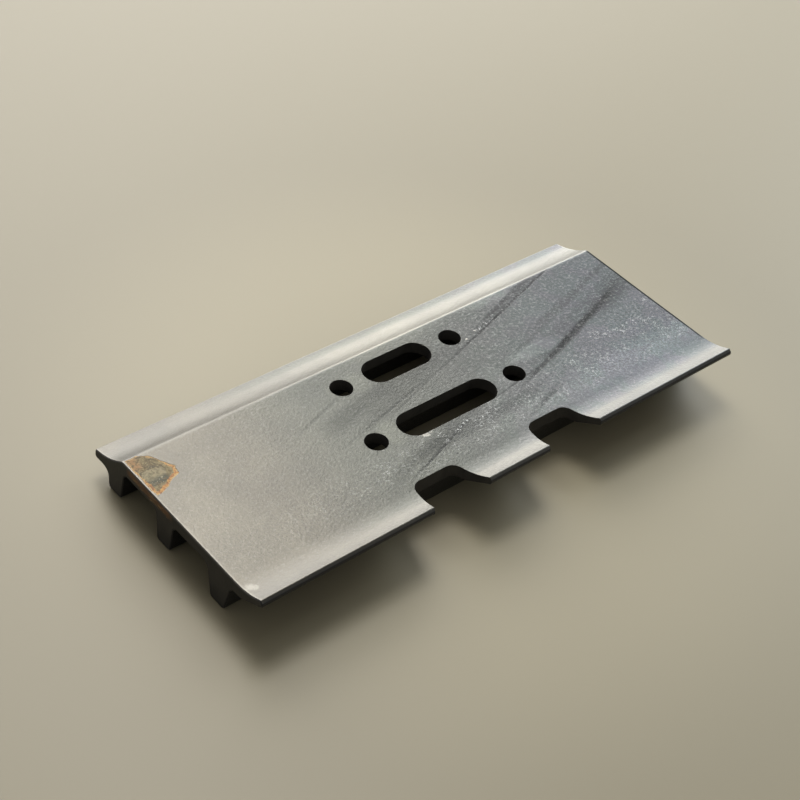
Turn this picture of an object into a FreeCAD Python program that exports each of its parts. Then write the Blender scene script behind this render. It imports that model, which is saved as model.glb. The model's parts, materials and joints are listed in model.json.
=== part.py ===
import FreeCAD, Part
import math
import os

# Triple-grouser track shoe of an excavator: one length of rolled steel section, sheared to length and
# punched. Millimetres. X runs along the section (across the track), Y along the track, +Z up to the
# track links. The origin is under the middle of the shoe, at the level of the grouser tips.

# Overall sizes
SHOE_LENGTH = 600.0
SHOE_WIDTH = 252.8
LINK_FACE_Z = 48.0
PLATE_THICKNESS = 13.0
END_EDGE_BEVEL = 1.0

# Bolt pattern: two rows of two holes, the row by the raised lip set wider (216 mm pitch chain)
BOLT_AXIS_Y = 15.1
BOLT_ROW_SPACING = 76.2
BOLT_HOLE_DIAMETER = 23.5
RAISED_ROW_SPACING = 178.4
LOWERED_ROW_SPACING = 140.4

# One long clearance slot in each row, between the bolt holes
SLOT_WIDTH = 33.2
RAISED_ROW_SLOT_LENGTH = 120.8
LOWERED_ROW_SLOT_LENGTH = 81.2

# Grousers: (centre from the bolt axis, flank angle in degrees)
GROUSERS = [(78.0, 6.2), (0.0, 6.2), (-81.4, 12.4)]
GROUSER_TIP_HALF_WIDTH = 9.9
GROUSER_TIP_RADIUS = 4.0
GROUSER_ROOT_RADIUS = 8.0

# Raised lip, on the -Y side: the plate curls up and thins to a rounded nose that leans out below its
# sharp top edge
RAISED_LIP_RISE = 9.2
RAISED_LIP_ANGLE = 28.0
RAISED_LIP_TOP_RADIUS = 66.0
RAISED_LIP_UNDER_RADIUS = 28.0
RAISED_LIP_UNDER_START = 28.7
RAISED_EDGE_SETBACK = 3.2
RAISED_EDGE_RADIUS = 1.0
NOSE_TOP_DROP = 3.0
NOSE_THICKNESS = 6.9
NOSE_RADIUS = 3.0

# Lowered lip, on the +Y side: a ridge, a hollow slope and a thin blunt edge
RIDGE_FROM_BOLT_AXIS = 68.0
RIDGE_RADIUS = 9.0
SLOPE_ANGLE = 37.0
SLOPE_RUN = 19.7
SLOPE_RADIUS = 85.0
LOWERED_TIP_DROP = 19.3
LOWERED_TIP_THICKNESS = 8.8
LOWERED_TIP_RADII = (2.0, 3.5)

# Two notches in the raised lip that clear the links of the next shoe
NOTCH_CENTRE_X = 72.6
NOTCH_DEPTH = 42.4
NOTCH_FLOOR_HALF_WIDTH = 26.2
NOTCH_MOUTH_HALF_WIDTH = 34.6
NOTCH_CORNER_RADIUS = 12.0
CUT_MARGIN = 20.0

PLATE_UNDERSIDE_Z = LINK_FACE_Z - PLATE_THICKNESS
NOSE_Y = -SHOE_WIDTH / 2
LOWERED_TIP_Y = SHOE_WIDTH / 2


def rounded_outline(corners, place):
    """Closed wire through corners (a, b, radius), each one rounded; place(a, b) gives the point in space."""
    ends = []
    for i, (a, b, radius) in enumerate(corners):
        corner = FreeCAD.Vector(a, b, 0)
        before = FreeCAD.Vector(*corners[i - 1][:2], 0) - corner
        after = FreeCAD.Vector(*corners[(i + 1) % len(corners)][:2], 0) - corner
        half_angle = before.getAngle(after) / 2
        before.normalize()
        after.normalize()
        bisector = (before + after).normalize()
        reach = radius / math.tan(half_angle)
        middle = corner + bisector * (radius / math.sin(half_angle) - radius)
        points = [corner + before * reach, middle, corner + after * reach]
        ends.append([place(p.x, p.y) for p in points])
    edges = []
    for i, (start, middle, finish) in enumerate(ends):
        if corners[i][2] > 0:
            edges.append(Part.Arc(start, middle, finish).toShape())
        edges.append(Part.LineSegment(finish, ends[(i + 1) % len(ends)][0]).toShape())
    return Part.Wire(edges)


def grouser_corners(centre, flank_angle, lip_side_root_z):
    """Corners of one grouser from its +Y root to its -Y root; the +Y root may sit lower, under a lip."""
    spread = math.tan(math.radians(flank_angle))
    tip = GROUSER_TIP_HALF_WIDTH
    far_root = tip + lip_side_root_z * spread
    near_root = tip + PLATE_UNDERSIDE_Z * spread
    return [
        (centre + far_root, lip_side_root_z, GROUSER_ROOT_RADIUS),
        (centre + tip, 0.0, GROUSER_TIP_RADIUS),
        (centre - tip, 0.0, GROUSER_TIP_RADIUS),
        (centre - near_root, PLATE_UNDERSIDE_Z, GROUSER_ROOT_RADIUS),
    ]


def section_corners():
    """The rolled section in (y, z, radius), once round: along the top towards +Y, back underneath."""
    raised_edge_y = NOSE_Y + RAISED_EDGE_SETBACK
    raised_edge_z = LINK_FACE_Z + RAISED_LIP_RISE
    curl_run = RAISED_LIP_RISE / math.tan(math.radians(RAISED_LIP_ANGLE))
    ridge_y = BOLT_AXIS_Y + RIDGE_FROM_BOLT_AXIS
    slope_drop = SLOPE_RUN * math.tan(math.radians(SLOPE_ANGLE))
    lowered_tip_z = LINK_FACE_Z - LOWERED_TIP_DROP
    lowered_under_z = lowered_tip_z - LOWERED_TIP_THICKNESS
    corners = [
        (NOSE_Y, raised_edge_z - NOSE_THICKNESS, NOSE_RADIUS),
        (NOSE_Y, raised_edge_z - NOSE_TOP_DROP, NOSE_RADIUS),
        (raised_edge_y, raised_edge_z, RAISED_EDGE_RADIUS),
        (raised_edge_y + curl_run, LINK_FACE_Z, RAISED_LIP_TOP_RADIUS),
        (ridge_y, LINK_FACE_Z, RIDGE_RADIUS),
        (ridge_y + SLOPE_RUN, LINK_FACE_Z - slope_drop, SLOPE_RADIUS),
        (LOWERED_TIP_Y, lowered_tip_z, LOWERED_TIP_RADII[0]),
        (LOWERED_TIP_Y, lowered_under_z, LOWERED_TIP_RADII[1]),
    ]
    root_levels = [lowered_under_z, PLATE_UNDERSIDE_Z, PLATE_UNDERSIDE_Z]
    for (offset, flank_angle), root_z in zip(GROUSERS, root_levels):
        corners += grouser_corners(BOLT_AXIS_Y + offset, flank_angle, root_z)
    corners.append((NOSE_Y + RAISED_LIP_UNDER_START, PLATE_UNDERSIDE_Z, RAISED_LIP_UNDER_RADIUS))
    return corners


def rolled_bar():
    """The section at the -X end, extruded along the shoe, with its two sheared ends eased."""
    end_x = -SHOE_LENGTH / 2
    outline = rounded_outline(section_corners(), lambda y, z: FreeCAD.Vector(end_x, y, z))
    bar = Part.Face(outline).extrude(FreeCAD.Vector(SHOE_LENGTH, 0, 0))
    end_edges = [e for e in bar.Edges if abs(abs(e.CenterOfMass.x) - SHOE_LENGTH / 2) < 1e-6]
    return bar.makeChamfer(END_EDGE_BEVEL, end_edges)


def upright_cut(outline):
    """A cutter with the given outline at z = 0, standing right through the shoe."""
    height = LINK_FACE_Z + RAISED_LIP_RISE + CUT_MARGIN
    return Part.Face(outline).extrude(FreeCAD.Vector(0, 0, height))


def bolt_hole(x, y):
    circle = Part.Circle(FreeCAD.Vector(x, y, 0), FreeCAD.Vector(0, 0, 1), BOLT_HOLE_DIAMETER / 2)
    return upright_cut(Part.Wire(circle.toShape()))


def slot(length, y):
    """A slot with round ends, centred on the shoe's length."""
    radius = SLOT_WIDTH / 2
    straight = length / 2 - radius
    upper_left = FreeCAD.Vector(-straight, y + radius, 0)
    upper_right = FreeCAD.Vector(straight, y + radius, 0)
    lower_right = FreeCAD.Vector(straight, y - radius, 0)
    lower_left = FreeCAD.Vector(-straight, y - radius, 0)
    outline = Part.Wire([
        Part.LineSegment(upper_left, upper_right).toShape(),
        Part.Arc(upper_right, FreeCAD.Vector(length / 2, y, 0), lower_right).toShape(),
        Part.LineSegment(lower_right, lower_left).toShape(),
        Part.Arc(lower_left, FreeCAD.Vector(-length / 2, y, 0), upper_left).toShape(),
    ])
    return upright_cut(outline)


def lip_notch(centre_x):
    """A notch with rounded inner corners that widens towards the edge of the raised lip."""
    floor_y = NOSE_Y + NOTCH_DEPTH
    flare = (NOTCH_MOUTH_HALF_WIDTH - NOTCH_FLOOR_HALF_WIDTH) / NOTCH_DEPTH
    outer_y = NOSE_Y - CUT_MARGIN
    outer_half_width = NOTCH_MOUTH_HALF_WIDTH + CUT_MARGIN * flare
    corners = [
        (centre_x - NOTCH_FLOOR_HALF_WIDTH, floor_y, NOTCH_CORNER_RADIUS),
        (centre_x + NOTCH_FLOOR_HALF_WIDTH, floor_y, NOTCH_CORNER_RADIUS),
        (centre_x + outer_half_width, outer_y, 0.0),
        (centre_x - outer_half_width, outer_y, 0.0),
    ]
    return upright_cut(rounded_outline(corners, lambda x, y: FreeCAD.Vector(x, y, 0)))


def track_shoe():
    """The finished shoe: the bar with its holes, slots and notches."""
    half_row_gap = BOLT_ROW_SPACING / 2
    rows = [
        (BOLT_AXIS_Y - half_row_gap, RAISED_ROW_SPACING, RAISED_ROW_SLOT_LENGTH),
        (BOLT_AXIS_Y + half_row_gap, LOWERED_ROW_SPACING, LOWERED_ROW_SLOT_LENGTH),
    ]
    cutters = []
    for row_y, hole_spacing, slot_length in rows:
        cutters += [bolt_hole(side * hole_spacing / 2, row_y) for side in (-1, 1)]
        cutters.append(slot(slot_length, row_y))
    cutters += [lip_notch(side * NOTCH_CENTRE_X) for side in (-1, 1)]
    return rolled_bar().cut(cutters)


os.makedirs("parts", exist_ok=True)
shoe = track_shoe()
shoe.exportStep("parts/track_shoe.step")
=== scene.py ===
import json
import math

import bmesh
import bpy
import numpy as np
from mathutils import Matrix, Vector, noise


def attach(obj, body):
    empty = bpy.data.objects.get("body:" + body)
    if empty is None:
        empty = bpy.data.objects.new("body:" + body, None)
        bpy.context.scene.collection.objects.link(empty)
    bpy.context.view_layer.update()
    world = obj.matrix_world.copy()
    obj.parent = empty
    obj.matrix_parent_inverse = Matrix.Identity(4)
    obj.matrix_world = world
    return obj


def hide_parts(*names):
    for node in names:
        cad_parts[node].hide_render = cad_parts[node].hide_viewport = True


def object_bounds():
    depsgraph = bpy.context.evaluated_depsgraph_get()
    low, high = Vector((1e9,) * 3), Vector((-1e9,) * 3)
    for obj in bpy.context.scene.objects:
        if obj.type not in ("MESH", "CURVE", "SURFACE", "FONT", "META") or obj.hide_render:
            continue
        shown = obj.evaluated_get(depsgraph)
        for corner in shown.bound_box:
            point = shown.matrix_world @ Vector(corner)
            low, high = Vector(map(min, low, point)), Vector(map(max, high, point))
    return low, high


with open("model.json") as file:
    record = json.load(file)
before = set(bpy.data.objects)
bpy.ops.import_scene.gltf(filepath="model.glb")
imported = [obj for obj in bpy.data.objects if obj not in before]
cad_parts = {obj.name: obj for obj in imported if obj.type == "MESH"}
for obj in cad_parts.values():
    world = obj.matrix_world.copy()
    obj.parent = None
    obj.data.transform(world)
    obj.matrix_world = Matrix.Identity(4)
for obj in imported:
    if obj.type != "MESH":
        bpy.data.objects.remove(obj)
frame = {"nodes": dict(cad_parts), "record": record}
CAD_BOX = [list(corner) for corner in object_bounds()]
LOW, HIGH = (Vector(corner) for corner in CAD_BOX)
LINK_FACE_Z = next(m["pos_m"][2] for m in frame["record"]["mounts"] if m["name"] == "link_face")
MM = 0.001

# Camera: what it aims at on the link face, and how it stands round that point
AIM = Vector((-0.0331, 0.0091, LINK_FACE_Z))
CAMERA_AZIMUTH = -46.57
CAMERA_ELEVATION = 41.79
CAMERA_ROLL = 9.34
CAMERA_DISTANCE = 1.5848
CAMERA_LENS = 74.28

# Sky: a dim dome with one glow, low beyond the lowered lip. The glow is whole up to its core and gone at its
# edge, both in degrees from its middle.
SKY_STRENGTH = 0.30
GLOW_STRENGTH = 5.2
GLOW_AZIMUTH = 150.0
GLOW_ELEVATION = 12.0
GLOW_CORE = 20.0
GLOW_EDGE = 36.5
SKY_COLOUR = (1.0, 0.985, 0.955, 1)

# Square soft lights: (name, azimuth, elevation, side, radiance, colour), in degrees and metres
LIGHT_DISTANCE = 3.0
WARM_LIGHT, COOL_LIGHT = (1.0, 0.97, 0.92), (0.88, 0.95, 1.0)
LIGHTS = [
    ("corner", 165, 50, 1.7, 3.2, WARM_LIGHT),
    ("key", 149, 66, 1.1, 8.0, WARM_LIGHT),
    ("side", 98, 32, 1.6, 3.8, COOL_LIGHT),
]

# Side of the square floor, in metres
FLOOR_SIZE = 80.0

# Shoe mesh, in metres: rounding of the punched rims, grid of the fine faces, and waviness of all the faces
# with a finer ripple in it. The waviness starts from nothing at the floor and is whole above WAVE_CLEARANCE.
RIM_ROUNDING = 0.0011
ROUNDING_SEGMENTS = 3
WELD_DISTANCE = MM / 1000
GRID_STEP = 0.006
WAVE_HEIGHT = 0.00012
WAVE_LENGTH = 0.045
WAVE_CLEARANCE = 0.005
RIPPLE_SHARE = 0.5
RIPPLE_RATE = 2.7

# Angles in degrees: faces that join into one, edges that are rounded, edges that shade as smooth, and normals
# that are evened out
FLAT_ANGLE = 0.2
ROUNDED_ANGLE = 55
FACE_ANGLE = 35.0
GENTLE_ANGLE = 9.0
EVENING_PASSES = 4
NORMAL_WEIGHT = 80

# The most that the normal of a sheared or punched face leans out of level, and that of a rolled one along X
CUT_LEAN = 0.03
ROLLED_LEAN = 0.02

# Marks are laid out in millimetres from the middle between the top edges of the two lips
MARKS_Y = 0.6

# Dark streaks on the link face. Each one is a straight band through (x, y), from one x to another, and fades
# over one distance on its +Y side and another on its -Y side:
# (x, y, slope, from, to, fade on +Y side, fade on -Y side, depth)
STREAKS = [
    (140, 53.0, 0.298, 30, 262, 2.6, 2.0, 0.80),
    (150, 61.0, 0.320, 75, 240, 7.0, 9.0, 0.50),
    (150, 64.5, 0.335, 95, 235, 3.0, 4.0, 0.45),
    (0, 11.6, 0.298, -75, 75, 3.0, 1.8, 0.40),
    (10, 24.0, 0.29, -100, 90, 14.0, 10.0, 0.32),
    (214, 33.5, 0.27, 130, 330, 5.0, 9.0, 0.38),
    (170, 16.0, 0.29, 80, 260, 3.0, 7.0, 0.25),
    (85, -34.6, 0.155, 30, 140, 2.0, 1.6, 0.70),
    (200, -5.6, 0.315, 70, 275, 4.4, 3.8, 0.80),
    (213, -1.6, 0.315, 120, 290, 6.5, 8.0, 0.92),
    (230, 14.0, 0.31, 100, 330, 18.0, 14.0, 0.30),
    (290, 22.0, 0.30, 205, 360, 16.0, 22.0, 0.50),
    (85, -71.2, 0.295, 45, 135, 7.0, 3.5, 0.58),
    (-45, -65.5, 0.33, -110, 20, 3.0, 1.8, 0.75),
    (-50, -58.0, 0.26, -130, 60, 14.0, 12.0, 0.38),
    (-10, -58.0, 0.05, -90, 110, 12.0, 14.0, 0.42),
    (-50, 3.0, 0.24, -130, 30, 3.0, 1.6, 0.40),
    (-110, 34.8, 0.33, -160, -60, 2.0, 4.0, 0.35),
    (-50, 28.0, 0.20, -140, 60, 14.0, 18.0, 0.38),
]
# A streak has its whole depth within this share of its fades, and comes and goes over these lengths
STREAK_CORE = 0.2
STREAK_START, STREAK_END = 45, 35

# Paler places on the link face: (x, y, half length, half width, strength)
PALE_PLACES = [
    (-52, 50, 12, 16, 0.45),
    (-69, -22, 13, 18, 0.50),
    (70, -20, 14, 18, 0.45),
    (132, -8, 40, 10, 1.15),
    (145, 77, 34, 8, 0.95),
    (20, 76, 70, 8, 0.30),
]
# Corners of the rusted patch by the -X end, once round, and the paler island in it: (x, y, half length,
# half width)
RUST_CORNERS = [
    (-297, 82), (-285, 82), (-276, 76), (-263, 53), (-265, 44), (-288, 32), (-296, 30), (-297.5, 38),
]
RUST_ISLAND = (-286.5, 53.5, 13.0, 11.0)
# Pale dirt: (x, y, radius, strength)
SMUDGES = [
    (-294, -102, 5.5, 0.20),
    (-290, -105, 4.5, 0.16),
    (-45, -41.2, 2.6, 0.35),
    (-41.5, -41.8, 2.8, 0.42),
    (-38, -41.2, 2.4, 0.35),
    (84, 42, 2.0, 0.5),
    (99, 47, 1.8, 0.9),
]
# Painted highlights on stretches of the +X end's top edge, from one y to another
GLINT_STRETCHES = [(119.5, 123.5), (98, 117)]

# Depths of the relief, in millimetres, and how far rust lies below the paint, in depths of its own grain
PEEL_DEPTH = 0.52
PEBBLE_DEPTH = 0.45
DENT_DEPTH = 0.12
STREAK_DEPTH = 0.12
FLECK_HEIGHT = 0.08
RUST_GRAIN_DEPTH = 0.25
RUST_SINK = 1.6
TEAR_DEPTH = 0.25
CUT_GRAIN_DEPTH = 0.08

# Metal and roughness of the paint, and what its grain, streaks and rust add to them
PAINT_METAL = 0.45
DARK_METAL = 0.45
PAINT_ROUGHNESS = 0.27
GRAIN_ROUGHNESS = 0.08
STREAK_ROUGHNESS = 0.12
RUST_ROUGHNESS = 0.35
CUT_ROUGHNESS = 0.55, 0.75
CUT_IOR = 1.4
FLOOR_ROUGHNESS = 0.45

# Colours, as linear red, green, blue and alpha
CLEAN_PAINT = (0.020, 0.021, 0.023, 1)
STREAK_PAINT = (0.005, 0.0055, 0.006, 1)
DUSTY = (0.235, 0.214, 0.166, 1)
OLIVE_LIP, OLIVE_FACE = (0.225, 0.214, 0.178, 1), (0.196, 0.205, 0.160, 1)
# Painted sky reflection: the cool tints towards the +X end
SKY_REFLECTION_LIP = (0.215, 0.213, 0.190, 1)
SKY_REFLECTION_GREEN, SKY_REFLECTION_VIOLET = (0.155, 0.196, 0.205, 1), (0.180, 0.187, 0.222, 1)
BARE_SCALE = (0.50, 0.51, 0.50, 1)
PALE_DIRT = (0.55, 0.53, 0.47, 1)
# Painted highlight along the -X end's top edge
EDGE_HIGHLIGHT = (0.62, 0.57, 0.52, 1)
# Painted dark reflection along the +X end's top edge
DARK_EDGE_REFLECTION = (0.006, 0.006, 0.006, 1)
# Painted highlights on the +X end's top edge of the lowered lip
EDGE_GLINT = (0.55, 0.54, 0.50, 1)
RUST_SCALE = (0.105, 0.070, 0.022, 1), (0.235, 0.185, 0.085, 1)
RUST_TAN = (0.150, 0.130, 0.070, 1), (0.265, 0.225, 0.130, 1)
RUST_ARC = (0.048, 0.036, 0.015, 1)
RUST_DARK_SPOT = (0.034, 0.037, 0.020, 1)
RUST_PALE_SPECK = (0.420, 0.380, 0.270, 1)
RUST_BROWN = (0.300, 0.150, 0.050, 1)
RUST_RIM = (0.190, 0.075, 0.022, 1), (0.430, 0.190, 0.050, 1)
RUST_YELLOW = (0.530, 0.330, 0.085, 1)
RUST_RIM_EDGE = (0.470, 0.330, 0.140, 1)
CUT_PAINT = (0.024, 0.0235, 0.021, 1), (0.044, 0.041, 0.035, 1)
RUST_STAIN = (0.160, 0.080, 0.034, 1)
RUST_SCRATCH = (0.30, 0.19, 0.08, 1)
# A painted pool of light: the floor is paler near the shoe and darker away from it
FLOOR_IN_LIGHT_POOL, FLOOR_BEYOND_LIGHT_POOL = (0.295, 0.262, 0.176, 1), (0.235, 0.209, 0.141, 1)
# Where the painted pool of light on the floor starts to fade and where it has faded, in millimetres from its
# middle
LIGHT_POOL_FADE = 220, 480


def direction(azimuth, elevation):
    """Unit vector from the object towards a place; azimuth 0 is the -Y side, 90 the +X side, in degrees."""
    a, e = math.radians(azimuth), math.radians(elevation)
    return Vector((math.sin(a) * math.cos(e), -math.cos(a) * math.cos(e), math.sin(e)))


def add_camera():
    """The camera, aimed at a point on the link face and rolled about its own axis."""
    camera = bpy.data.objects.new("camera", bpy.data.cameras.new("camera"))
    camera.data.lens = CAMERA_LENS
    back = direction(CAMERA_AZIMUTH, CAMERA_ELEVATION)
    camera.location = AIM + back * CAMERA_DISTANCE
    upright = (-back).to_track_quat("-Z", "Y").to_matrix()
    roll = Matrix.Rotation(math.radians(CAMERA_ROLL), 3, "Z")
    camera.rotation_euler = (upright @ roll).to_euler()
    bpy.context.collection.objects.link(camera)
    bpy.context.scene.camera = camera


def add_softbox(name, azimuth, elevation, side, radiance, colour):
    """A square soft light that faces the shoe."""
    light = bpy.data.objects.new(name, bpy.data.lights.new(name, "AREA"))
    light.data.shape = "RECTANGLE"
    light.data.size = light.data.size_y = side
    light.data.energy = radiance * math.pi * side * side
    light.data.color = colour
    away = direction(azimuth, elevation)
    light.location = Vector((AIM.x, AIM.y, 0)) + away * LIGHT_DISTANCE
    light.rotation_euler = away.to_track_quat("Z", "Y").to_euler()
    light.visible_camera = False
    bpy.context.collection.objects.link(light)


def set_world():
    """A dim sky with one soft glow low in it, and a plain warm white where the camera sees it."""
    world = bpy.data.worlds.new("world")
    world.use_nodes = True
    nodes, links = world.node_tree.nodes, world.node_tree.links
    towards = nodes.new("ShaderNodeVectorMath")
    towards.operation = "DOT_PRODUCT"
    links.new(nodes.new("ShaderNodeTexCoord").outputs["Generated"], towards.inputs[0])
    towards.inputs[1].default_value = direction(GLOW_AZIMUTH, GLOW_ELEVATION)
    glow = nodes.new("ShaderNodeMapRange")
    glow.interpolation_type = "SMOOTHERSTEP"
    links.new(towards.outputs["Value"], glow.inputs["Value"])
    glow.inputs["From Min"].default_value = math.cos(math.radians(GLOW_EDGE))
    glow.inputs["From Max"].default_value = math.cos(math.radians(GLOW_CORE))
    glow.inputs["To Min"].default_value = SKY_STRENGTH
    glow.inputs["To Max"].default_value = GLOW_STRENGTH
    seen = nodes.new("ShaderNodeMix")
    links.new(nodes.new("ShaderNodeLightPath").outputs["Is Camera Ray"], seen.inputs[0])
    links.new(glow.outputs["Result"], seen.inputs[2])
    seen.inputs[3].default_value = 1.0
    background = nodes["Background"]
    background.inputs["Color"].default_value = SKY_COLOUR
    links.new(seen.outputs[0], background.inputs["Strength"])
    bpy.context.scene.world = world


class Graph:
    """The node tree of one new material, with short names for the nodes it needs."""

    def __init__(self, name):
        self.material = bpy.data.materials.new(name)
        self.material.use_nodes = True
        self.tree = self.material.node_tree
        self.shader = self.tree.nodes["Principled BSDF"]

    def node(self, kind, inputs, **settings):
        made = self.tree.nodes.new(kind)
        for name, value in settings.items():
            setattr(made, name, value)
        for key, value in inputs.items():
            self.feed(made.inputs[key], value)
        return made

    def feed(self, socket, value):
        if isinstance(value, bpy.types.NodeSocket):
            self.tree.links.new(value, socket)
        else:
            socket.default_value = value

    def math(self, operation, first, second=0.0):
        return self.node("ShaderNodeMath", {0: first, 1: second}, operation=operation).outputs[0]

    def add(self, first, second):
        return self.math("ADD", first, second)

    def times(self, first, *others):
        for other in others:
            first = self.math("MULTIPLY", first, other)
        return first

    def less(self, first, second):
        return self.math("SUBTRACT", first, second)

    def smallest(self, values):
        least = values[0]
        for value in values[1:]:
            least = self.math("MINIMUM", least, value)
        return least

    def largest(self, values):
        most = values[0]
        for value in values[1:]:
            most = self.math("MAXIMUM", most, value)
        return most

    def step(self, value, start, finish, low=0.0, high=1.0):
        """Smooth step: low below start, high above finish (start may be the larger of the two)."""
        if start > finish:
            start, finish, low, high = finish, start, high, low
        inputs = {"Value": value, "From Min": start, "From Max": finish, "To Min": low, "To Max": high}
        return self.node("ShaderNodeMapRange", inputs, interpolation_type="SMOOTHSTEP").outputs["Result"]

    def place(self):
        """Position in millimetres, as the marks are laid out."""
        position = self.node("ShaderNodeTexCoord", {}).outputs["Object"]
        inputs = {0: position, 1: (1 / MM, 1 / MM, 1 / MM), 2: (0, -MARKS_Y, 0)}
        return self.node("ShaderNodeVectorMath", inputs, operation="MULTIPLY_ADD").outputs[0]

    def parts(self, vector):
        return self.node("ShaderNodeSeparateXYZ", {0: vector}).outputs[:3]

    def vector(self, x, y, z):
        return self.node("ShaderNodeCombineXYZ", {0: x, 1: y, 2: z}).outputs[0]

    def noise(self, vector, size, detail=2.0, roughness=0.5, distortion=0.0):
        inputs = {"Vector": vector, "Scale": 1 / size, "Detail": detail, "Roughness": roughness}
        inputs["Distortion"] = distortion
        return self.node("ShaderNodeTexNoise", inputs).outputs["Fac"]

    def mix(self, factor, first, second):
        node = self.node("ShaderNodeMix", {}, data_type="RGBA")
        self.feed(node.inputs[0], factor)
        self.feed(node.inputs[6], first)
        self.feed(node.inputs[7], second)
        return node.outputs[2]

    def bump(self, height, depth, below=None):
        inputs = {"Height": height, "Distance": depth * MM}
        if below is not None:
            inputs["Normal"] = below
        return self.node("ShaderNodeBump", inputs).outputs[0]


def edge_distance(g, x, y, corners):
    """How far a point lies inside a convex outline, in millimetres."""
    centre = [sum(corner[i] for corner in corners) / len(corners) for i in (0, 1)]
    sides = []
    for (ax, ay), (bx, by) in zip(corners, corners[1:] + corners[:1]):
        nx, ny = ay - by, bx - ax
        length = math.hypot(nx, ny)
        nx, ny = nx / length, ny / length
        if (centre[0] - ax) * nx + (centre[1] - ay) * ny < 0:
            nx, ny = -nx, -ny
        along = g.add(g.times(x, nx), g.times(y, ny))
        sides.append(g.less(along, ax * nx + ay * ny))
    return g.smallest(sides)


def squared_distance(g, x, y, at_x, at_y, half_length=1.0, half_width=1.0):
    """Squared distance from a point, with each direction measured in its own half size."""
    off_x = g.times(g.less(x, at_x), 1 / half_length)
    off_y = g.times(g.less(y, at_y), 1 / half_width)
    return g.add(g.times(off_x, off_x), g.times(off_y, off_y))


class RolledFace:
    """What the marks on the rolled faces share: where a point lies, how it faces, and the paint's grain."""

    def __init__(self, g):
        self.place = g.place()
        self.x, self.y, self.z = g.parts(self.place)
        self.up = g.parts(g.node("ShaderNodeNewGeometry", {}).outputs["Normal"])[2]
        self.facing_up = g.step(self.up, 0.55, 0.95)
        self.level = g.times(g.step(self.up, 0.94, 0.995), self.facing_up)
        self.fine = g.noise(self.place, 2.5, 3, 0.65)
        self.medium = g.noise(self.place, 7)
        self.pebble = g.noise(self.place, 1.9, 3, 0.7)


def streak_mask(g, face):
    """How dark the streaks make each place of the link face, 0 to 1."""
    x, y = face.x, face.y
    here = g.vector(x, y, 0.0)
    drift = g.times(g.less(g.noise(here, 45), 0.5), 4)
    wander = g.times(g.less(g.noise(here, 7), 0.5), 1.6)
    lightness = 1.0
    for at_x, at_y, slope, start, finish, fade_over, fade_under, depth in STREAKS:
        line = g.times(g.less(x, at_x), slope)
        beyond = g.less(g.add(y, g.add(drift, wander)), g.add(line, at_y))
        under = g.step(beyond, -fade_under, -STREAK_CORE * fade_under)
        over = g.step(beyond, fade_over, STREAK_CORE * fade_over)
        reach = g.times(g.step(x, start, start + STREAK_START), g.step(x, finish, finish - STREAK_END))
        lightness = g.times(g.less(1.0, g.times(g.times(under, over), reach, depth)), lightness)
    patchy = g.step(g.noise(here, 16, 3, 0.6), 0.25, 0.7, 0.82, 1.06)
    return g.times(g.less(1.0, lightness), patchy, face.level)


def fleck_field(g, face):
    """The pebbled part of the link face, between the streaks and the raised lip."""
    x, y = face.x, face.y
    past_line = g.less(y, g.largest([g.add(g.times(x, 0.20), -54), -37.0]))
    clear_of_lip = g.step(y, -97, -70)
    return g.times(g.step(past_line, 4, -14), clear_of_lip, g.step(x, -290, 130, 0.25, 1.0), face.level)


def fleck_mask(g, face, field):
    """Curled threads of bare scale: many in the field, a short row by each of two streaks, few elsewhere."""
    x, y = face.x, face.y
    row = g.less(y, g.add(g.times(g.less(x, 120), 0.27), 51))
    row = g.times(g.step(row, 3, 1), g.step(row, -3.5, -1),
                  g.step(x, 98, 104), g.step(x, 142, 122), face.level)
    curl = g.noise(g.vector(g.times(x, 0.8), g.times(y, 1.2), face.z), 3.6, 2, 0.6, 1.6)
    thread = g.step(g.math("ABSOLUTE", g.less(curl, 0.5)), 0.055, 0.012)
    broken = g.step(g.noise(g.vector(y, x, 7.0), 3.6, 2, 0.6), 0.44, 0.62)
    cluster = g.step(g.noise(face.place, 24, 3, 0.6), 0.42, 0.62, 0.12, 1.0)
    second_row = g.less(y, g.add(g.times(x, 0.33), -49.0))
    second_row = g.times(g.step(second_row, 3, 1), g.step(second_row, -3.5, -1),
                         g.step(x, -20, -12), g.step(x, 10, 4))
    everywhere = g.step(x, 0, 80, 0.12, 0.26)
    rows = [g.times(row, 1.6), g.times(second_row, 1.4)]
    amount = g.largest([g.times(field, cluster, 0.75), *rows, everywhere])
    return g.smallest([g.times(thread, broken, amount, face.level), 1.0])


def lip_sheen(g, face):
    """How much painted sheen lightens the lips: least at the -X end, and more on the lowered lip."""
    x, y = face.x, face.y
    lowered = g.times(g.step(y, 0, 50), g.step(y, 112, 96, 0.90, 1.1))
    lowered = g.times(lowered, g.step(x, -220, 60, 0.0, 0.36), g.step(x, 120, 230, 1.0, 0.85))
    raised = g.times(g.step(y, -60, -95), g.step(x, -260, -110, 0.0, 0.07), g.step(x, 60, 150, 1.0, 0.3))
    return g.add(g.step(x, -300, 100, 0.40, 0.56), g.add(lowered, raised))


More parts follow.
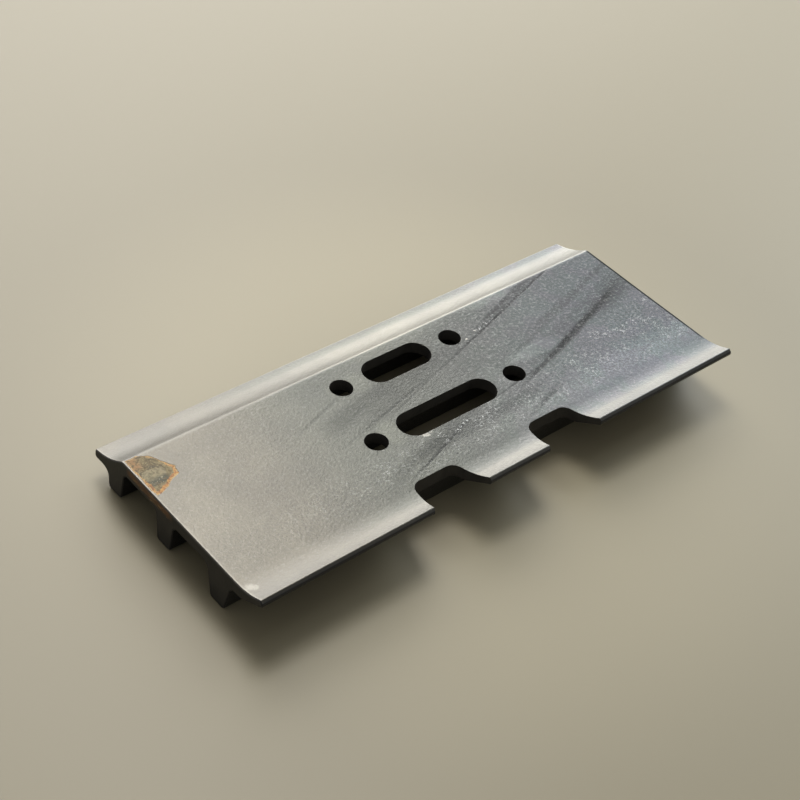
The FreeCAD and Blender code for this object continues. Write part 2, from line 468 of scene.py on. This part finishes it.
def dust_and_sheen(g, face, field, streak):
    """How much dust, scale and painted sheen lighten the top, 0 to 1.

    The link face has most at the -X end and least in the streaks. Its fall along X is partly dust and partly
    painted reflection, which dims towards +X, and on the lips it is painted sheen.
    """
    x, y, level = face.x, face.y, face.level
    pale = 0.0
    for at_x, at_y, half_length, half_width, strength in PALE_PLACES:
        off = squared_distance(g, x, y, at_x, at_y, half_length, half_width)
        pale = g.add(pale, g.step(off, 1.4, 0.1, 0.0, strength))
    # The link face's fall is partly dust and partly painted reflection: paler towards -X, dimmer towards +X
    by_raised_lip = g.times(g.step(y, -45, -76), g.step(x, -120, 150), 0.17)
    far_end = g.times(g.step(y, -45, -10), g.step(x, 150, 260), 0.022)
    link_face = g.less(g.add(g.step(x, -360, 60, 0.445, 0.20), by_raised_lip), far_end)
    # On the lips the tone is painted sheen
    fall = g.add(g.times(link_face, level), g.times(g.less(1.0, level), lip_sheen(g, face)))
    grain = g.add(g.times(g.less(face.fine, 0.5), 0.7), g.times(g.less(face.pebble, 0.5), field, 4.2))
    broad = g.step(g.noise(face.place, 50, 3, 0.55), 0.2, 0.8, 0.85, 1.15)
    tone = g.times(fall, broad, g.add(1.0, grain), g.add(1.0, pale))
    tone = g.times(tone, g.less(1.0, g.times(streak, 0.93)), face.facing_up)
    return g.smallest([g.largest([tone, 0.0]), 1.0])


def dust_and_sky_colour(g, face):
    """Dusty towards the -X end, olive in the middle, and a cool painted sky reflection towards the +X end,
    where the tint wanders.
    """
    olive = g.mix(face.level, OLIVE_LIP, OLIVE_FACE)
    violet = g.step(g.noise(g.vector(face.y, face.x, 11.0), 30, 3, 0.6), 0.42, 0.58)
    sky_reflection = g.mix(face.level, SKY_REFLECTION_LIP, g.mix(violet, SKY_REFLECTION_GREEN, SKY_REFLECTION_VIOLET))
    bleached = g.mix(g.step(face.x, -220, -80), DUSTY, olive)
    return g.mix(g.step(g.less(face.x, g.times(face.y, 0.5)), -60, 260), bleached, sky_reflection)


def rust_patch(g, face):
    """The rusted corner: where it is, its grain and its colour.

    Olive scale holds a tan island, dark arcs, dark spots with pale specks and a brown corner, inside an
    orange rim with yellow spots and a tan edge.
    """
    x, y, place = face.x, face.y, face.place
    x_rough = g.add(x, g.times(g.less(g.noise(place, 9, 3, 0.6), 0.5), 5))
    y_rough = g.add(y, g.times(g.less(g.noise(g.vector(y, x, 3.0), 9, 3, 0.6), 0.5), 5))
    inside = edge_distance(g, x_rough, y_rough, RUST_CORNERS)
    patch = g.times(g.step(inside, -0.5, 0.3), face.facing_up)
    grain = g.noise(place, 3.2, 4, 0.65, 0.6)

    lobes = g.times(g.less(g.noise(g.vector(y, x, 5.0), 10, 2, 0.6), 0.5), 1.7)
    off = g.math("SQRT", squared_distance(g, x_rough, y_rough, *RUST_ISLAND))
    from_island = g.less(g.add(off, lobes), 1.0)
    olive_scale = g.mix(g.step(grain, 0.36, 0.62), *RUST_SCALE)
    tan = g.mix(g.step(grain, 0.34, 0.60), *RUST_TAN)
    colour = g.mix(g.step(from_island, 0.15, -0.35, 0.0, 0.8), olive_scale, tan)

    arcs = g.math("ABSOLUTE", g.less(g.noise(place, 12, 1, 0.5, 1.2), 0.50))
    arcs = g.times(g.step(arcs, 0.050, 0.015), g.step(y, 60, 66))
    upper_ring = g.times(g.step(g.math("ABSOLUTE", from_island), 0.12, 0.03), g.step(y_rough, 50, 57))
    arcs = g.times(g.largest([arcs, upper_ring, g.step(inside, 1.2, 0.3)]), g.step(y, 47, 52))
    colour = g.mix(g.times(arcs, 0.80), colour, RUST_ARC)

    low_zone = g.times(g.step(y_rough, 40, 42), g.step(y_rough, 51, 47), g.step(x, -271, -277))
    dark_spots = g.times(g.step(grain, 0.40, 0.50), low_zone)
    colour = g.mix(g.times(dark_spots, 0.85), colour, RUST_DARK_SPOT)
    colour = g.mix(g.times(g.step(face.pebble, 0.60, 0.68), low_zone), colour, RUST_PALE_SPECK)
    brown_corner = g.times(g.step(x, -284, -292), g.step(y, 62, 70), g.step(grain, 0.40, 0.56))
    colour = g.mix(g.times(brown_corner, 0.8), colour, RUST_BROWN)

    depth_in = g.add(inside, g.times(g.less(face.medium, 0.5), 5))
    wider_corner = g.times(g.step(x, -277, -267), g.step(y, 66, 58), 1.4)
    rim_width = g.add(g.step(y, 60, 40, 1.1, 3.8), wider_corner)
    rim = g.times(g.step(g.less(depth_in, rim_width), 0.3, -0.9), patch)
    rim_colour = g.mix(g.step(grain, 0.38, 0.58), *RUST_RIM)
    rim_colour = g.mix(g.step(grain, 0.54, 0.62, 0.0, 0.75), rim_colour, RUST_YELLOW)
    tan_edge = g.times(g.step(depth_in, 1.7, 0.7), g.step(face.pebble, 0.40, 0.55))
    rim_colour = g.mix(tan_edge, rim_colour, RUST_RIM_EDGE)
    return patch, grain, g.mix(rim, colour, rim_colour)


def smudge_mask(g, face):
    """Ragged spots of pale dirt."""
    smudges = []
    for at_x, at_y, radius, strength in SMUDGES:
        away = g.math("SQRT", squared_distance(g, face.x, face.y, at_x, at_y))
        ragged = g.add(away, g.times(g.less(face.medium, 0.5), 8))
        smudges.append(g.times(g.step(ragged, radius, radius * 0.4), strength))
    return g.times(g.largest(smudges), face.facing_up)


def end_marks(g, face):
    """On the +X end's top edge: a thin dark line by the link face, a painted dark reflection, and painted
    highlights on stretches of the lowered lip.
    """
    x, y = face.x, face.y
    line = g.times(g.step(x, 296.4, 297.2), g.step(x, 299.2, 298.6), g.step(y, -96, -84), g.step(y, 84, 80))
    glint = [g.times(g.step(y, low - 1, low + 1), g.step(y, high + 1, high - 1)) for low, high in GLINT_STRETCHES]
    return line, g.times(g.largest(glint), g.step(x, 298.0, 298.8), g.step(face.up, 0.1, 0.4))


def rolled_material():
    """Black paint on the rolled faces: dusty on top with painted sheen and painted sky reflection, streaked,
    flecked, rusted at one corner, with painted highlights and a painted dark reflection on the end edges.
    """
    g = Graph("black_paint_rolled")
    face = RolledFace(g)
    x, y = face.x, face.y
    streak = streak_mask(g, face)
    field = fleck_field(g, face)
    fleck = fleck_mask(g, face, field)
    tone = dust_and_sheen(g, face, field, streak)
    smudge = smudge_mask(g, face)
    edge_reflection_line, glint = end_marks(g, face)
    patch, rust_grain, rust_colour = rust_patch(g, face)

    # The tone lightens the paint with dust and painted sheen, in a dusty, olive or painted sky-reflection
    # tint
    colour = g.mix(tone, g.mix(streak, CLEAN_PAINT, STREAK_PAINT), dust_and_sky_colour(g, face))
    colour = g.mix(g.times(fleck, 0.7), colour, BARE_SCALE)
    colour = g.mix(smudge, colour, PALE_DIRT)
    # A faint painted highlight along the -X end's top edge
    colour = g.mix(g.times(g.step(x, -296.5, -299.5), face.facing_up, 0.15), colour, EDGE_HIGHLIGHT)
    # A painted dark reflection along the +X end's top edge
    colour = g.mix(g.times(edge_reflection_line, 0.9), colour, DARK_EDGE_REFLECTION)
    # Painted highlights on the lowered lip's +X end edge
    colour = g.mix(glint, colour, EDGE_GLINT)
    colour = g.mix(patch, colour, rust_colour)

    # The streaks and the dimmer +X part are the most metallic, and rust, dirt and the painted edge highlights
    # aren't metallic
    # Painted shade: extra metal darkens the +X part of the link face, standing in for its dimmer reflection
    dimmer_reflection = g.add(g.step(x, -60, 140, 0.0, 0.6), g.step(x, 180, 270, 0.0, 0.15))
    dimmer_reflection = g.times(dimmer_reflection, g.step(y, -78, -50), face.level)
    metal = g.add(PAINT_METAL, g.times(g.largest([streak, dimmer_reflection]), DARK_METAL))
    metal = g.times(metal, g.less(1.0, g.largest([patch, smudge, glint])))

    roughness = g.add(PAINT_ROUGHNESS, g.times(face.fine, GRAIN_ROUGHNESS))
    roughness = g.add(roughness, g.times(streak, STREAK_ROUGHNESS))
    roughness = g.add(roughness, g.times(g.largest([patch, edge_reflection_line]), RUST_ROUGHNESS))

    relief = g.bump(g.times(face.fine, g.step(x, -310, -120, 0.6, 1.0)), PEEL_DEPTH)
    relief = g.bump(g.times(face.pebble, field), PEBBLE_DEPTH, relief)
    relief = g.bump(face.medium, DENT_DEPTH, relief)
    relief = g.bump(streak, -STREAK_DEPTH, relief)
    relief = g.bump(fleck, FLECK_HEIGHT, relief)
    relief = g.bump(g.times(patch, g.less(rust_grain, RUST_SINK)), RUST_GRAIN_DEPTH, relief)

    g.feed(g.shader.inputs["Base Color"], colour)
    g.feed(g.shader.inputs["Metallic"], metal)
    g.feed(g.shader.inputs["Roughness"], roughness)
    g.feed(g.shader.inputs["Normal"], relief)
    return g.material


def cut_material():
    """Black paint on the sheared ends and the punched walls: rough and dark, rust-stained by the patch."""
    g = Graph("black_paint_cut")
    place = g.place()
    x, y, z = g.parts(place)
    patchy = g.noise(place, 18, 3, 0.6)
    colour = g.mix(g.step(patchy, 0.3, 0.7), *CUT_PAINT)

    end = g.step(x, -298.5, -299.2)
    along_edge = g.times(g.step(y, 0, 10), g.step(y, 76, 68), end)
    stained = g.times(along_edge, g.step(z, 38.5, 42.5), g.step(patchy, 0.25, 0.5, 0.6, 1.0))
    colour = g.mix(g.times(stained, 0.8), colour, RUST_STAIN)
    scratch = g.step(g.noise(g.vector(0.0, g.times(y, 0.12), g.times(z, 0.9)), 1.6, 2, 0.6), 0.54, 0.62)
    scratch = g.times(scratch, along_edge, g.step(y, 66, 58), g.step(z, 37, 40), g.step(z, 46.5, 44.5))
    colour = g.mix(g.times(scratch, 0.75), colour, RUST_SCRATCH)

    fine = g.noise(place, 1.8, 3, 0.65)
    tear = g.noise(g.vector(x, y, g.times(z, 0.25)), 3.0, 3, 0.6)
    g.feed(g.shader.inputs["Base Color"], colour)
    g.feed(g.shader.inputs["Roughness"], g.step(patchy, 0.2, 0.8, *CUT_ROUGHNESS))
    g.feed(g.shader.inputs["Normal"], g.bump(tear, TEAR_DEPTH, g.bump(fine, CUT_GRAIN_DEPTH)))
    g.shader.inputs["IOR"].default_value = CUT_IOR
    return g.material


def floor_material():
    """A plain floor with a painted pool of light: a little darker away from the shoe."""
    g = Graph("floor")
    x, y, _ = g.parts(g.place())
    away = g.math("SQRT", squared_distance(g, x, y, 0, 0))
    g.feed(g.shader.inputs["Base Color"], g.mix(g.step(away, *LIGHT_POOL_FADE), FLOOR_IN_LIGHT_POOL, FLOOR_BEYOND_LIGHT_POOL))
    g.shader.inputs["Roughness"].default_value = FLOOR_ROUGHNESS
    return g.material


def add_floor():
    bpy.ops.mesh.primitive_plane_add(size=FLOOR_SIZE, location=(0, 0, LOW.z))
    floor = bpy.context.object
    floor.name = "floor"
    floor.data.materials.append(floor_material())


def is_cut(face):
    """Whether a face was sheared or punched: upright, and not one of the rolled faces along the shoe."""
    upright = abs(face.normal.z) < CUT_LEAN
    along = abs(face.normal.x) < ROLLED_LEAN
    middle = face.calc_center_median()
    rolled_tip = along and (middle.y < LOW.y + MM or middle.y > HIGH.y - MM)
    return upright and not rolled_tip


def slice_grid(mesh, step, low, high, axes):
    """Cut the faces along a grid of planes, so that they can be shaped finely."""
    for axis in axes:
        cuts = round((high[axis] - low[axis]) / step)
        for k in range(1, cuts):
            at, across = Vector(low), Vector((0, 0, 0))
            at[axis] += (high[axis] - low[axis]) * k / cuts
            across[axis] = 1.0
            geometry = mesh.verts[:] + mesh.edges[:] + mesh.faces[:]
            bmesh.ops.bisect_plane(mesh, geom=geometry, dist=WELD_DISTANCE, plane_co=at, plane_no=across)


def with_even_normals(faceted):
    """The mesh with face-weighted normals, evened out where its faces curve gently."""
    holder = bpy.data.objects.new("faceted", faceted)
    bpy.context.collection.objects.link(holder)
    weighted = holder.modifiers.new("normals", "WEIGHTED_NORMAL")
    weighted.keep_sharp = True
    weighted.weight = NORMAL_WEIGHT
    graph = bpy.context.evaluated_depsgraph_get()
    data = bpy.data.meshes.new_from_object(holder.evaluated_get(graph))
    data.name = "shoe"
    bpy.data.objects.remove(holder)

    corners = np.empty((len(data.loops), 3))
    data.corner_normals.foreach_get("vector", corners.ravel())
    owner = np.empty(len(data.loops), int)
    data.loops.foreach_get("vertex_index", owner)
    faces = np.empty((len(data.polygons), 3))
    data.polygons.foreach_get("normal", faces.ravel())
    sides = np.empty(len(faces), int)
    data.polygons.foreach_get("loop_total", sides)
    of_face = np.repeat(np.arange(len(faces)), sides)
    normals = np.zeros((len(data.vertices), 3))
    np.add.at(normals, owner, corners)
    normals /= np.linalg.norm(normals, axis=1, keepdims=True) + 1e-12
    leaning = np.ones(len(normals))
    np.minimum.at(leaning, owner, np.einsum("ij,ij->i", normals[owner], faces[of_face]))
    gentle = leaning > math.cos(math.radians(GENTLE_ANGLE))
    edges = np.empty((len(data.edges), 2), int)
    data.edges.foreach_get("vertices", edges.ravel())
    first, second = edges[gentle[edges].all(axis=1)].T
    for _ in range(EVENING_PASSES):
        evened = normals.copy()
        np.add.at(evened, first, normals[second])
        np.add.at(evened, second, normals[first])
        normals = evened / np.linalg.norm(evened, axis=1, keepdims=True)
    even = gentle[owner]
    corners[even] = normals[owner[even]]
    data.normals_split_custom_set(corners)
    return data


def wave_height(point):
    """How far the faces swell or sink at a point, none of it where the shoe stands on the floor."""
    wave = noise.noise(point / WAVE_LENGTH) + RIPPLE_SHARE * noise.noise(point / WAVE_LENGTH * RIPPLE_RATE)
    standing = min(1.0, (point.z - LOW.z) / WAVE_CLEARANCE)
    return wave * WAVE_HEIGHT * standing


def shoe_piece(source):
    """The shoe with its punched rims rounded and its faces slightly wavy, dressed in its two paints."""
    mesh = bmesh.new()
    mesh.from_mesh(source.data)
    bmesh.ops.remove_doubles(mesh, verts=mesh.verts, dist=WELD_DISTANCE)
    flat = math.radians(FLAT_ANGLE)
    bmesh.ops.dissolve_limit(mesh, angle_limit=flat, verts=mesh.verts, edges=mesh.edges)
    sharp = [e for e in mesh.edges if math.degrees(e.calc_face_angle()) > ROUNDED_ANGLE]
    bmesh.ops.bevel(mesh, geom=sharp, offset=RIM_ROUNDING, offset_type="OFFSET", segments=ROUNDING_SEGMENTS,
                    profile=0.5, affect="EDGES", clamp_overlap=True)
    bmesh.ops.triangulate(mesh, faces=mesh.faces)
    slice_grid(mesh, GRID_STEP, LOW, HIGH, (0, 1))
    for face in mesh.faces:
        face.smooth = True
        face.material_index = 1 if is_cut(face) else 0
    for vertex in mesh.verts:
        vertex.co += vertex.normal * wave_height(vertex.co)
    for edge in mesh.edges:
        edge.smooth = edge.calc_face_angle() < math.radians(FACE_ANGLE)
    faceted = bpy.data.meshes.new("faceted")
    mesh.to_mesh(faceted)
    mesh.free()
    data = with_even_normals(faceted)
    data.materials.append(rolled_material())
    data.materials.append(cut_material())
    piece = bpy.data.objects.new("shoe", data)
    bpy.context.collection.objects.link(piece)
    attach(piece, "root")
    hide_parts("track_shoe")


add_camera()
set_world()
add_floor()
for light in LIGHTS:
    add_softbox(*light)
shoe_piece(frame["nodes"]["track_shoe"])

bpy.context.scene.view_settings.view_transform = "Standard"
